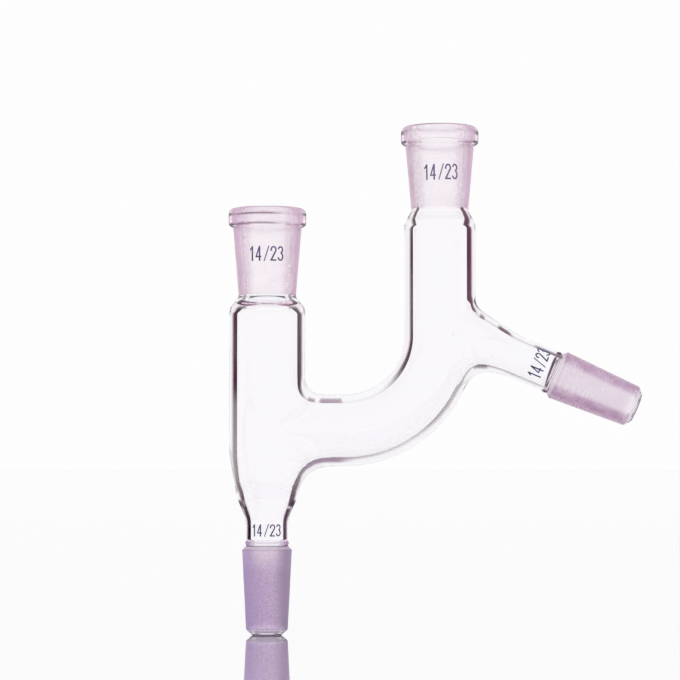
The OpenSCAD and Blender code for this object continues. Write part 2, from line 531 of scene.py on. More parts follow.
# ---------------------------------------------------------------- materials
def node(nt, kind, **values):
    n = nt.nodes.new(kind)
    for k, v in values.items():
        if hasattr(n, k):
            setattr(n, k, v)
        else:
            n.inputs[k.replace("_", " ")].default_value = v
    return n


def ramp(nt, source, a, b, lo=0.0, hi=1.0):
    m = nt.nodes.new("ShaderNodeMapRange")
    m.interpolation_type = "SMOOTHSTEP"
    m.inputs["From Min"].default_value, m.inputs["From Max"].default_value = a, b
    m.inputs["To Min"].default_value, m.inputs["To Max"].default_value = lo, hi
    nt.links.new(source, m.inputs["Value"])
    return m.outputs["Result"]


def times(nt, a, b):
    m = nt.nodes.new("ShaderNodeMath")
    m.operation = "MULTIPLY"
    for k, x in enumerate((a, b)):
        if isinstance(x, (int, float)):
            m.inputs[k].default_value = x
        else:
            nt.links.new(x, m.inputs[k])
    return m.outputs[0]


def mix_colour(nt, factor, a, b):
    m = nt.nodes.new("ShaderNodeMix")
    m.data_type = "RGBA"
    m.blend_type = "MIX"
    m.clamp_factor = True
    if isinstance(factor, (int, float)):
        m.inputs[0].default_value = factor
    else:
        nt.links.new(factor, m.inputs[0])
    for sock, x in ((m.inputs[6], a), (m.inputs[7], b)):
        if isinstance(x, tuple):
            sock.default_value = (*x, 1.0)
        else:
            nt.links.new(x, sock)
    return m.outputs[2]


def plus(nt, a, b):
    return math_node(nt, "ADD", a, b)


def math_node(nt, operation, a, b):
    m = nt.nodes.new("ShaderNodeMath")
    m.operation = operation
    for k, x in enumerate((a, b)):
        if isinstance(x, (int, float)):
            m.inputs[k].default_value = x
        else:
            nt.links.new(x, m.inputs[k])
    return m.outputs[0]


def position(nt):
    return nt.nodes.new("ShaderNodeTexCoord").outputs["Object"]


def split(nt, vector):
    n = nt.nodes.new("ShaderNodeSeparateXYZ")
    nt.links.new(vector, n.inputs[0])
    return n.outputs


def noise(nt, vector, scale, detail=2.0, rough=0.5, seed=0.0):
    """Noise with features of about 1/scale in the vector's units."""
    n = nt.nodes.new("ShaderNodeTexNoise")
    n.noise_dimensions = "4D"
    n.inputs["W"].default_value = seed
    n.inputs["Scale"].default_value = scale
    n.inputs["Detail"].default_value = detail
    n.inputs["Roughness"].default_value = rough
    nt.links.new(vector, n.inputs["Vector"])
    return n.outputs["Fac"]


def bump(nt, height, distance, strength=1.0):
    n = nt.nodes.new("ShaderNodeBump")
    n.inputs["Strength"].default_value = strength
    n.inputs["Distance"].default_value = distance
    nt.links.new(height, n.inputs["Height"])
    return n.outputs["Normal"]


IOR = 1.47


def mix_value(nt, factor, a, b):
    m = nt.nodes.new("ShaderNodeMix")
    m.data_type = "FLOAT"
    for sock, x in ((m.inputs[0], factor), (m.inputs[2], a), (m.inputs[3], b)):
        if isinstance(x, (int, float)):
            sock.default_value = x
        else:
            nt.links.new(x, sock)
    return m.outputs[0]


def sum_of(nt, values):
    total = values[0]
    for v in values[1:]:
        total = plus(nt, total, v)
    return total


def bent_and_mirrored(nt, through, mirror, normal, ior=None):
    """Clear glass as a shader that bends light and one that mirrors it, mixed by Fresnel, each with its own colour."""
    bend = node(nt, "ShaderNodeBsdfRefraction", Roughness=0.0, IOR=IOR)
    gloss = node(nt, "ShaderNodeBsdfGlossy", Roughness=0.0)
    share = node(nt, "ShaderNodeFresnel", IOR=IOR)
    join = nt.nodes.new("ShaderNodeMixShader")
    for sock, x in ((bend.inputs["Color"], through), (gloss.inputs["Color"], mirror)):
        if isinstance(x, tuple):
            sock.default_value = (*x, 1.0)
        else:
            nt.links.new(x, sock)
    if ior is not None:
        nt.links.new(ior, bend.inputs["IOR"])
        nt.links.new(ior, share.inputs["IOR"])
    for n in (bend, gloss, share):
        nt.links.new(normal, n.inputs["Normal"])
    nt.links.new(share.outputs[0], join.inputs[0])
    nt.links.new(bend.outputs[0], join.inputs[1])
    nt.links.new(gloss.outputs[0], join.inputs[2])
    out = nt.nodes.new("ShaderNodeOutputMaterial")
    nt.links.new(join.outputs[0], out.inputs["Surface"])


def new_tree(name):
    mat = bpy.data.materials.new(name)
    mat.use_nodes = True
    mat.node_tree.nodes.clear()
    return mat, mat.node_tree


def waves(nt, at):
    """Long shallow waves of drawn and blown tube."""
    height = plus(nt, noise(nt, at, 42.0, 0.0, seed=1.0), times(nt, noise(nt, at, 160.0, 0.0, seed=5.0), 0.06))
    return bump(nt, height, 0.00007)


def window(nt, x, a, b, c, d):
    """1 between b and c, falling to 0 at a and d."""
    return times(nt, ramp(nt, x, a, b), ramp(nt, x, c, d, 1.0, 0.0))


def uprightness(nt):
    """1 where the wall stands upright, 0 where it faces up or down."""
    tilt = split(nt, nt.nodes.new("ShaderNodeNewGeometry").outputs["Normal"])["Z"]
    return ramp(nt, math_node(nt, "ABSOLUTE", tilt, 0.0), 0.42, 0.82, 1.0, 0.0), tilt


def shades(nt, xyz):
    """How strong the painted dark lines in the wall (painted shade) are along the part: 1 on the tubes, less at the
    places marked below.
    """
    z, x = xyz["Z"], xyz["X"]
    low = ramp(nt, z, 0.010, 0.016, 1.0, 0.0)                      # the narrow neck
    # painted shade: the painted dark lines are weaker from about 14 to 49 mm up
    foot = times(nt, ramp(nt, z, 0.014, 0.022), ramp(nt, z, 0.040, 0.049, 1.0, 0.0))
    strength = mix_value(nt, foot, 1.0, 0.76)
    # painted shade: the painted dark lines are weaker round the flare's end on the neck, more on the left
    seam = times(nt, window(nt, z, 0.0128, 0.0134, 0.0142, 0.0150), ramp(nt, x, -0.002, 0.002, 0.38, 0.0))
    seam = plus(nt, seam, times(nt, window(nt, z, 0.0121, 0.0126, 0.0129, 0.0134), window(nt, x, -0.002, 0.002, 0.016, 0.018)))
    strength = times(nt, strength, mix_value(nt, seam, 1.0, 0.35))
    # painted shade: the painted dark lines are weaker on the outside of the bend, where the wall has been stretched
    # thin
    bend = times(nt, ramp(nt, x, 0.048, 0.054), window(nt, z, 0.026, 0.032, 0.050, 0.056))
    strength = times(nt, strength, mix_value(nt, bend, 1.0, 0.55))
    # painted shade: the painted dark lines are much weaker at the collar above the lower cone
    collar = times(nt, ramp(nt, z, 0.0023, 0.0031, 1.0, 0.0), ramp(nt, x, 0.02, 0.03, 1.0, 0.0))
    return low, times(nt, strength, mix_value(nt, collar, 1.0, 0.14))


TUBE_THROUGH = (0.993, 0.989, 0.996)


def outlet_neck_painted_ring(nt, at, xyz):
    """A painted dark ring round the outlet's neck, painted shade for the dark ring its curved glass shows: it shows
    most on the far side.
    """
    along = nt.nodes.new("ShaderNodeVectorMath")
    along.operation = "DOT_PRODUCT"
    nt.links.new(at, along.inputs[0])
    slope = BACK - 0.06 * LIFT
    along.inputs[1].default_value = tuple(slope)
    h0 = float(GAUGE @ slope) * MM
    seam = window(nt, along.outputs["Value"], h0 + 0.0012, h0 + 0.0016, h0 + 0.0023, h0 + 0.0027)
    seam = times(nt, seam, ramp(nt, xyz["X"], 0.075, 0.080))
    return times(nt, seam, ramp(nt, xyz["Y"], -0.002, 0.002, 0.06, 0.95)), seam


def tube_inside(name, dark=(0.040, 0.012, 0.026), narrow=(0.0045, 0.0025, 0.0040)):
    """Inside of the tubes: the light that this face throws back into the wall comes out deep purple, painted shade for
    the dark lines along the walls.
    """
    mat, nt = new_tree(name)
    at = position(nt)
    xyz = split(nt, at)
    low, strength = shades(nt, xyz)
    fres = node(nt, "ShaderNodeFresnel", IOR=IOR)
    facing = node(nt, "ShaderNodeLayerWeight", Blend=0.5).outputs["Facing"]
    # painted shade: the painted dark line is a little narrower in the second tube's wall on the side of the main tube,
    # where the wall is a little thinner
    thinner = times(nt, window(nt, xyz["X"], 0.030, 0.036, 0.044, 0.048), ramp(nt, xyz["Z"], 0.050, 0.062))
    facing = plus(nt, facing, times(nt, thinner, 0.03))
    # and wider on the other side, and low down at the right of the main tube, where the wall is thicker
    thicker = times(nt, ramp(nt, xyz["X"], 0.050, 0.056), window(nt, xyz["Z"], 0.070, 0.074, 0.096, 0.100))
    thicker = plus(nt, thicker, times(nt, window(nt, xyz["X"], 0.001, 0.003, 0.020, 0.024), times(nt, window(nt, xyz["Z"], 0.010, 0.014, 0.024, 0.030), 1.8)))
    facing = plus(nt, facing, times(nt, thicker, -0.025))
    total = ramp(nt, fres.outputs[0], 0.5, 1.0)
    upright, tilt = uprightness(nt)
    wall = mix_value(nt, low, ramp(nt, facing, 0.33, 0.42, 1.0, 0.0), ramp(nt, facing, 0.37, 0.50, 1.0, 0.0))
    # walls that face up or down get a thin painted dark line (painted shade), strongest in the melted seams and at the
    # ends of the slanted arm
    x = xyz["X"]
    seams = lambda *spans: math_node(nt, "MINIMUM", sum_of(nt, [times(nt, window(nt, x, *(v * MM for v in w)), k) for k, w in spans]), 1.0)
    above = seams((0.9, (11.0, 12.0, 13.4, 14.3)), (0.95, (14.7, 15.9, 21.2, 22.6)), (0.9, (57.0, 58.2, 59.8, 60.6)),
                  (0.8, (61.2, 61.8, 62.6, 63.2)), (1.0, (66.4, 67.6, 69.6, 72.4)), (0.22, (71.0, 73.0, 77.0, 79.0)),
                  (0.9, (77.0, 79.0, 86.0, 87.0)))
    below = seams((1.0, (8.0, 10.0, 20.0, 27.0)), (0.9, (59.4, 60.6, 63.4, 65.0)), (0.4, (68.0, 72.0, 79.0, 81.0)))
    seam = mix_value(nt, ramp(nt, tilt, -0.2, 0.2), below, above)
    base = mix_value(nt, window(nt, x, 0.028, 0.036, 0.044, 0.048), 0.60, 0.46)
    share = mix_value(nt, ramp(nt, tilt, -0.2, 0.2), mix_value(nt, below, base, 0.95), mix_value(nt, above, 0.12, 0.92))
    thin = mix_value(nt, seam, ramp(nt, facing, 0.285, 0.36, 1.0, 0.0), ramp(nt, facing, 0.34, 0.45, 1.0, 0.0))
    thin = times(nt, thin, share)
    throat = times(nt, window(nt, xyz["Z"], 0.0704, 0.0712, 0.0764, 0.0772), window(nt, x, -0.0064, -0.0046, 0.0046, 0.0064))
    thin = times(nt, thin, mix_value(nt, throat, 1.0, 0.2))
    strength = times(nt, strength, mix_value(nt, throat, 1.0, 0.3))
    blotch = ramp(nt, noise(nt, at, 38.0, 1.0, seed=2.0), 0.35, 0.7, 1.0, 0.9)
    tips = ramp(nt, xyz["Z"], -0.0236, -0.0228, 0.25, 1.0)
    amount = times(nt, times(nt, total, mix_value(nt, upright, thin, wall)), times(nt, blotch, tips))
    # painted shade: the mirror colours of the painted dark lines, lighter past 50 mm along X, purple for the thin
    # lines, nearly black in the neck
    deep = mix_colour(nt, ramp(nt, x, 0.050, 0.054), dark, tuple(min(2.5 * c, c + 0.06) for c in dark))
    thin_painted_dark = mix_colour(nt, ramp(nt, x, 0.052, 0.058), tuple(min(c + k, 1.0) for c, k in zip(dark, (0.13, 0.016, 0.12))),
                           tuple(min(c + k, 1.0) for c, k in zip(dark, (0.055, 0.010, 0.055))))
    deep = mix_colour(nt, upright, thin_painted_dark, deep)
    deep = mix_colour(nt, low, deep, mix_colour(nt, ramp(nt, x, -0.002, 0.002), narrow, tuple(min(12 * c, c + 0.05) for c in narrow)))
    mirror = mix_colour(nt, times(nt, amount, strength), TUBE_THROUGH, deep)
    # painted shade: the outlet neck's painted dark ring, in the through colour on the far side and in the mirror
    far, ring = outlet_neck_painted_ring(nt, at, xyz)
    through = mix_colour(nt, far, TUBE_THROUGH, (0.17, 0.045, 0.155))
    mirror = mix_colour(nt, times(nt, ring, ramp(nt, facing, 0.16, 0.26, 0.85, 0.0)), mirror, (0.55, 0.20, 0.40))
    bent_and_mirrored(nt, through, mirror, waves(nt, at))
    return mat


def tube_outside(name, painted_dim_mirror=(0.50, 0.21, 0.34), neck_painted_dim_mirror=(0.05, 0.02, 0.03)):
    """Outside of the tubes: clear, with a mirror painted dim and purple over the painted dark lines in the wall
    (painted shade).
    """
    mat, nt = new_tree(name)
    at = position(nt)
    xyz = split(nt, at)
    low, strength = shades(nt, xyz)
    fres = node(nt, "ShaderNodeFresnel", IOR=IOR)
    facing = node(nt, "ShaderNodeLayerWeight", Blend=0.5).outputs["Facing"]
    upright, tilt = uprightness(nt)
    # painted shade: the mirror is dim and purple over the painted dark lines, and nearly black where light is thrown
    # back into the wall
    over_painted_lines = times(nt, window(nt, facing, 0.28, 0.38, 0.60, 0.76), times(nt, upright, strength))
    mirror = mix_colour(nt, over_painted_lines, (0.97, 0.96, 0.98), mix_colour(nt, low, painted_dim_mirror, neck_painted_dim_mirror))
    kept = times(nt, ramp(nt, fres.outputs[0], 0.5, 1.0), ramp(nt, facing, 0.34, 0.50, 1.0, 0.0))
    throat = times(nt, window(nt, xyz["Z"], 0.0704, 0.0712, 0.0764, 0.0772), window(nt, xyz["X"], -0.0064, -0.0046, 0.0046, 0.0064))
    kept = times(nt, kept, mix_value(nt, throat, 1.0, 0.25))
    mirror = mix_colour(nt, times(nt, times(nt, kept, strength), mix_value(nt, upright, 0.35, 0.8)), mirror, (0.10, 0.045, 0.075))
    # mauve in the collar above the lower cone and at its tip
    z, x = xyz["Z"], xyz["X"]
    left = ramp(nt, x, 0.016, 0.018, 1.0, 0.0)
    collar = times(nt, window(nt, z, 0.0006, 0.0010, 0.0022, 0.0027), ramp(nt, facing, 0.15, 0.50, 0.15, 1.0))
    collar = plus(nt, collar, times(nt, window(nt, z, 0.0017, 0.0020, 0.0022, 0.0025), 0.20))
    mauve = times(nt, plus(nt, collar, ramp(nt, z, -0.0236, -0.0228, 0.07, 0.0)), left)
    through = mix_colour(nt, mauve, TUBE_THROUGH, (0.66, 0.54, 0.68))
    mirror = mix_colour(nt, times(nt, mauve, 0.8), mirror, (0.74, 0.60, 0.78))
    # painted shade: the neck's wall is painted a little purple where it is seen edge on
    edge = times(nt, times(nt, low, window(nt, facing, 0.33, 0.42, 0.60, 0.80)), times(nt, left, ramp(nt, z, 0.0022, 0.0030)))
    through = mix_colour(nt, edge, through, (0.86, 0.70, 0.81))
    # painted shade: a painted dark ring at the end of the flare, where it meets the neck, seen only edge on
    flare_painted_ring = times(nt, window(nt, z, 0.0116, 0.0130, 0.0138, 0.0150), times(nt, ramp(nt, facing, 0.50, 0.62), left))
    through = mix_colour(nt, flare_painted_ring, through, (0.22, 0.15, 0.21))
    mirror = mix_colour(nt, flare_painted_ring, mirror, (0.10, 0.06, 0.09))
    # painted shade: the outlet neck's painted dark ring, darkest where it is seen edge on
    far, seam = outlet_neck_painted_ring(nt, at, xyz)
    through = mix_colour(nt, far, through, (0.17, 0.045, 0.155))
    painted_ring_ends = times(nt, seam, ramp(nt, facing, 0.46, 0.68))
    through = mix_colour(nt, painted_ring_ends, through, (0.34, 0.23, 0.31))
    mirror = mix_colour(nt, times(nt, seam, ramp(nt, xyz["Y"], -0.002, 0.002, 0.85, 0.0)), mirror, (0.62, 0.22, 0.44))
    mirror = mix_colour(nt, painted_ring_ends, mirror, (0.18, 0.10, 0.16))
    # painted shade: a painted dark wedge in the front of the top socket's shoulder, on the left
    middle = plus(nt, z, plus(nt, times(nt, x, 0.136), -0.07107))
    half = plus(nt, times(nt, x, -0.060), -0.00013)
    painted_wedge = ramp(nt, math_node(nt, "SUBTRACT", math_node(nt, "ABSOLUTE", middle, 0.0), half), -0.00010, 0.00012, 1.0, 0.0)
    painted_wedge = times(nt, painted_wedge, times(nt, window(nt, x, -0.0084, -0.0078, -0.0032, -0.0018), ramp(nt, xyz["Y"], -0.003, -0.002, 1.0, 0.0)))
    through = mix_colour(nt, times(nt, painted_wedge, 0.93), through, (0.06, 0.03, 0.05))
    # the flame has smoothed the step above the lower cone, so it bends light less
    step = times(nt, window(nt, z, 0.0008, 0.0013, 0.0026, 0.0031), left)
    bent_and_mirrored(nt, through, mirror, waves(nt, at), mix_value(nt, step, IOR, 1.12))
    return mat


def socket_outside_glass(name):
    """Outside of a socket: clear and faintly pink, with a painted mauve line at its edges and painted dark ones round
    the bead (painted shade).
    """
    mat, nt = new_tree(name)
    at = position(nt)
    xyz = split(nt, at)
    facing = node(nt, "ShaderNodeLayerWeight", Blend=0.5).outputs["Facing"]
    fres = node(nt, "ShaderNodeFresnel", IOR=IOR)
    second = ramp(nt, xyz["X"], 0.024, 0.026)
    rim = mix_value(nt, second, TOP_Z * MM, SIDE_Z * MM)
    down = math_node(nt, "SUBTRACT", rim, xyz["Z"])          # depth below the rim
    bead = ramp(nt, down, (RIM_H - 0.2) * MM, (RIM_H + 0.4) * MM, 1.0, 0.0)
    # painted shade: at grazing angles the mirror turns dark over the bead and mauve above and below it
    corner = mix_value(nt, second, ramp(nt, down, 0.0002, 0.0010), ramp(nt, down, 0.0008, 0.0014))
    edge = mix_colour(nt, bead, (0.72, 0.42, 0.60), mix_colour(nt, corner, (0.80, 0.60, 0.73), (0.26, 0.13, 0.21)))
    grazing = mix_value(nt, bead, ramp(nt, facing, 0.74, 0.92), ramp(nt, facing, 0.74, 0.90))
    mirror = mix_colour(nt, grazing, (0.97, 0.94, 0.97), edge)
    total = ramp(nt, fres.outputs[0], 0.96, 1.0)
    inside = times(nt, total, ramp(nt, facing, 0.80, 0.90, 1.0, 0.0))
    mirror = mix_colour(nt, inside, mirror, (0.99, 0.965, 0.985))
    # painted shade: soft painted dark lines round the rim's top edge, lower down and at the bead's foot, stronger in
    # front, and on the left of the first socket
    wander = times(nt, noise(nt, at, 120.0, 1.0, seed=9.0), 0.0005)
    depth = plus(nt, down, wander)
    behind = ramp(nt, xyz["Y"], -0.002, 0.002)
    from_axis = math_node(nt, "SUBTRACT", xyz["X"], times(nt, second, SIDE_X * MM))
    left = window(nt, from_axis, -0.0120, -0.0060, 0.0005, 0.0060)
    top = mix_value(nt, second, mix_value(nt, behind, 0.36, 0.15), mix_value(nt, behind, 0.85, 0.25))
    front = mix_value(nt, behind, 1.0, 0.0)
    foot = times(nt, front, mix_value(nt, second, plus(nt, times(nt, left, 0.62), 0.08), 0.05))
    lip_painted_line = times(nt, front, mix_value(nt, second, plus(nt, times(nt, left, 0.66), 0.10), 0.04))
    lines = [times(nt, window(nt, depth, 0.00005, 0.00025, 0.00045, 0.00075), top),
             times(nt, window(nt, depth, 0.00205, 0.00235, 0.00255, 0.00285), lip_painted_line),
             times(nt, window(nt, depth, 0.00490, 0.00515, 0.00535, 0.00565), foot)]
    line = times(nt, sum_of(nt, lines), bead)
    clear = mix_colour(nt, times(nt, bead, mix_value(nt, second, 0.9, 0.0)), (0.998, 0.992, 0.997), (0.978, 0.955, 0.973))
    through = mix_colour(nt, ramp(nt, facing, 0.32, 0.66), clear, (0.995, 0.875, 0.960))
    through = mix_colour(nt, line, through, (0.20, 0.10, 0.17))
    mirror = mix_colour(nt, times(nt, line, 0.9), mirror, (0.34, 0.22, 0.31))
    bent_and_mirrored(nt, through, mirror, waves(nt, at))
    return mat


def ground_glass(name, axis, light, deep, edge, milk, milk_share, rough, uneven_share=0.2, grain_share=0.2,
                 across=None, streaks=None, wall=None, grain_scale=2900.0):
    """Glass ground round its axis: fine rings of grinding marks, a grain, and a milky bloom.

    edge: facing at which the tint starts to deepen and is deepest. milk_share: at the middle and at the edges.
    across: milky colours on the -X side, in the middle, on the +X side and at the wide end; the sides are painted light
    and shade, lightest in the middle and darkest on +X. streaks: a tint in
    lengthwise streaks, painted shade. wall: tint and added milkiness where light is thrown back into the wall."""
    mat, nt = new_tree(name)
    out = nt.nodes.new("ShaderNodeOutputMaterial")
    at = position(nt)
    along = nt.nodes.new("ShaderNodeVectorMath")
    along.operation = "DOT_PRODUCT"
    nt.links.new(at, along.inputs[0])
    along.inputs[1].default_value = tuple(axis)
    along = along.outputs["Value"]
    # rings: fast along the axis, slow round it
    xyz = split(nt, at)
    lines = nt.nodes.new("ShaderNodeCombineXYZ")
    nt.links.new(times(nt, xyz["X"], 90.0), lines.inputs[0])
    nt.links.new(times(nt, xyz["Y"], 90.0), lines.inputs[1])
    nt.links.new(times(nt, along, 2600.0), lines.inputs[2])
    rings = noise(nt, lines.outputs[0], 1.0, 3.0, 0.6, seed=3.0)
    grain = noise(nt, at, grain_scale, 2.0, 0.65, seed=4.0)
    cloud = noise(nt, at, 230.0, 2.0, 0.55, seed=6.0)
    facing = node(nt, "ShaderNodeLayerWeight", Blend=0.5).outputs["Facing"]
    if streaks:                                                    # the underside is tinted further in
        # painted shade: on the underside the facing is pushed up, so the painted streaks and the deep tint sit further
        # in
        lift = nt.nodes.new("ShaderNodeVectorMath")
        lift.operation = "DOT_PRODUCT"
        nt.links.new(at, lift.inputs[0])
        lift.inputs[1].default_value = tuple(LIFT)
        c0 = float(GAUGE @ LIFT) * MM
        facing = plus(nt, facing, ramp(nt, lift.outputs["Value"], c0 - 0.0042, c0 - 0.0012, 0.085, 0.0))
    tint = mix_colour(nt, window(nt, facing, edge[0], edge[1], 0.66, 0.90), light, deep)
    uneven = plus(nt, times(nt, ramp(nt, rings, 0.3, 0.7), 0.5), times(nt, ramp(nt, cloud, 0.3, 0.7), 0.5))
    tint = mix_colour(nt, times(nt, uneven, uneven_share), tint, deep)
    body = mix_colour(nt, ramp(nt, cloud, 0.34, 0.66), milk[0], milk[1])
    speck = times(nt, ramp(nt, grain, 0.30, 0.72), grain_share)
    if across:
        # painted light and shade: the milky colour is lightest in the middle and darkest on the +X side
        body = mix_colour(nt, ramp(nt, xyz["X"], -0.0052, 0.0012), across[0], across[1])
        body = mix_colour(nt, ramp(nt, xyz["X"], 0.0016, 0.0056), body, across[2])
        body = mix_colour(nt, times(nt, ramp(nt, cloud, 0.3, 0.7), 0.25), body, milk[0])
        wide = times(nt, ramp(nt, along, -0.0080, 0.0), plus(nt, times(nt, window(nt, xyz["X"], -0.0058, -0.0012, 0.0014, 0.0058), 0.85), 0.15))
        body = mix_colour(nt, wide, body, across[3])
        speck = times(nt, speck, mix_value(nt, wide, 1.0, 0.45))
        tint = mix_colour(nt, times(nt, wide, 0.9), tint, light)
        # painted shade: the tint is darker on the +X side
        tint = mix_colour(nt, times(nt, ramp(nt, xyz["X"], 0.0012, 0.0060), 0.6), tint, tuple(0.8 * c for c in deep))
    if streaks:
        # painted shade: dark lengthwise streaks in a band of facing, broken up by the grinding rings and the cloud
        line = window(nt, facing, 0.09, 0.25, 0.40, 0.72)
        line = times(nt, line, times(nt, ramp(nt, rings, 0.25, 0.75, 0.75, 1.0), ramp(nt, cloud, 0.3, 0.65, 0.35, 0.72)))
        body = mix_colour(nt, line, body, streaks)
        tint = mix_colour(nt, line, tint, streaks)
    if across or streaks:
        h0 = float(GAUGE @ BACK) * MM if streaks else 0.0
        # painted highlight: a pale strip just above the wide end's edge
        painted_highlight_strip = ramp(nt, along, h0 + 0.00005, h0 + 0.00030, 0.0, 0.95 if streaks else 0.8)
        body = mix_colour(nt, painted_highlight_strip, body, (1.0, 0.905, 0.995))
        tint = mix_colour(nt, painted_highlight_strip, tint, light)
        # painted shade: a thin dark line at the wide end's edge
        rim = window(nt, along, h0 - 0.00022, h0 - 0.00008, h0 + 0.00004, h0 + 0.00016)
        body = mix_colour(nt, times(nt, rim, 0.32), body, tuple(0.5 * c for c in milk[0]))
        tint = mix_colour(nt, times(nt, rim, 0.32), tint, tuple(0.6 * c for c in deep))
    if wall:
        fres = node(nt, "ShaderNodeFresnel", IOR=IOR)
        kept = times(nt, ramp(nt, fres.outputs[0], 0.3, 0.9), ramp(nt, facing, 0.27, 0.46, 0.46, 1.0))
        tint = mix_colour(nt, kept, tint, wall[0])
        # the second socket's wall is paler on the side of the main tube
        pale = times(nt, ramp(nt, xyz["X"], 0.024, 0.026), ramp(nt, xyz["X"], 0.0465, 0.0495, 0.6, 0.0))
        tint = mix_colour(nt, pale, tint, light)
        kept = times(nt, kept, wall[1])
    body = mix_colour(nt, speck, body, tuple(0.55 * c for c in milk[1]))
    body = mix_colour(nt, times(nt, ramp(nt, rings, 0.45, 0.8), 0.16), body, (0.92, 0.86, 0.92))
    tint = mix_colour(nt, times(nt, speck, 0.6), tint, deep)
    glass = node(nt, "ShaderNodeBsdfGlass", distribution="MULTI_GGX", Roughness=rough, IOR=IOR)
    nt.links.new(tint, glass.inputs["Color"])
    nt.links.new(ramp(nt, uneven, 0.0, 1.0, rough - 0.05, rough + 0.05), glass.inputs["Roughness"])
    haze = node(nt, "ShaderNodeBsdfDiffuse", Roughness=0.6)
    nt.links.new(body, haze.inputs["Color"])
    fine = plus(nt, times(nt, rings, 0.6), times(nt, grain, 0.4))
    normal = bump(nt, fine, 0.00004)
    nt.links.new(normal, glass.inputs["Normal"])
    nt.links.new(normal, haze.inputs["Normal"])
    join = nt.nodes.new("ShaderNodeMixShader")
    share = plus(nt, ramp(nt, facing, edge[0], edge[1], milk_share[0], milk_share[1]), ramp(nt, cloud, 0.2, 0.8, -0.04, 0.04))
    if wall:
        share = plus(nt, share, kept)
        # the second socket is nearly clear behind its bead
        near_rim = times(nt, ramp(nt, xyz["X"], 0.024, 0.026), ramp(nt, xyz["Z"], (SIDE_Z - 6.6) * MM, (SIDE_Z - 4.6) * MM))
        share = mix_value(nt, times(nt, near_rim, ramp(nt, facing, 0.10, 0.40, 0.85, 0.0)), share, 0.0)
    nt.links.new(share, join.inputs[0])
    nt.links.new(glass.outputs[0], join.inputs[1])
    nt.links.new(haze.outputs[0], join.inputs[2])
    nt.links.new(join.outputs[0], out.inputs["Surface"])
    return mat


def ink():
    mat = bpy.data.materials.new("dark_blue_ink")
    mat.use_nodes = True
    nt = mat.node_tree
    p = nt.nodes["Principled BSDF"]
    at = position(nt)
    cloud = noise(nt, at, 420.0, 2.0, 0.6, seed=7.0)
    grain = noise(nt, at, 5200.0, 2.0, 0.6, seed=8.0)
    colour = mix_colour(nt, ramp(nt, cloud, 0.38, 0.68), (0.012, 0.009, 0.045), (0.06, 0.045, 0.24))
    colour = mix_colour(nt, times(nt, ramp(nt, grain, 0.55, 0.8), 0.35), colour, (0.20, 0.18, 0.40))
    xyz = split(nt, at)
    faint = mix_value(nt, ramp(nt, xyz["X"], 0.030, 0.035), 0.12, 0.30)    # thinner on the second socket
    colour = mix_colour(nt, times(nt, faint, ramp(nt, xyz["Z"], 0.060, 0.065)), colour, (0.26, 0.24, 0.34))
    nt.links.new(colour, p.inputs["Base Color"])
    nt.links.new(ramp(nt, grain, 0.3, 0.7, 0.38, 0.6), p.inputs["Roughness"])
    nt.links.new(bump(nt, grain, 0.00001), p.inputs["Normal"])
    return mat


# ---------------------------------------------------------------- joint-size numerals
def arc(cx, cy, rx, ry, a, b, n=14):
    return [(cx + rx * math.cos(math.radians(a + (b - a) * i / n)),
             cy + ry * math.sin(math.radians(a + (b - a) * i / n))) for i in range(n + 1)]


# each numeral's strokes in mm, from the middle of the line and its foot: points and width
STROKES = [
    [([(-4.12, 0.0), (-4.12, 4.3)], 0.44), ([(-4.84, 3.08), (-4.06, 4.16)], 0.40)],
    [([(-1.96, 0.0), (-1.96, 4.3)], 0.44), ([(-1.99, 4.14), (-2.98, 1.22)], 0.36), ([(-3.12, 1.22), (-1.46, 1.22)], 0.40)],
    [([(-0.64, -0.05), (0.70, 4.35)], 0.30)],
    [(arc(2.02, 3.22, 0.68, 0.86, 205, -28) + [(1.34, 0.26)], 0.42), ([(1.12, 0.21), (2.82, 0.21)], 0.42)],
    [(arc(4.06, 3.24, 0.62, 0.85, 172, -84), 0.42), (arc(4.04, 1.26, 0.70, 1.05, 82, -168), 0.42)],
]
NUMERAL_H = 4.3


def stroke_prism(points, width, low, high):
    p = np.array(points, float)
    d = np.diff(p, axis=0)
    d /= np.linalg.norm(d, axis=1)[:, None]
    side = np.stack([-d[:, 1], d[:, 0]], 1)
    at = np.concatenate([side[:1], side[:-1] + side[1:], side[-1:]])
    at /= np.linalg.norm(at, axis=1)[:, None]
    cosine = np.concatenate([[1.0], (at[1:-1] * side[1:]).sum(1), [1.0]])
    off = at * (width / 2 / np.maximum(cosine, 0.5))[:, None]
    line = np.concatenate([p - off, (p + off)[::-1]])
    n = len(line)
    verts = [(x, y, low) for x, y in line] + [(x, y, high) for x, y in line]
    faces = [list(range(n))[::-1], list(range(n, 2 * n))]
    faces += [[i, (i + 1) % n, n + (i + 1) % n, n + i] for i in range(n)]
    me = bpy.data.meshes.new("stroke")
    me.from_pydata(verts, [], faces)
    ob = bpy.data.objects.new("stroke", me)
    bpy.context.scene.collection.objects.link(ob)
    return ob


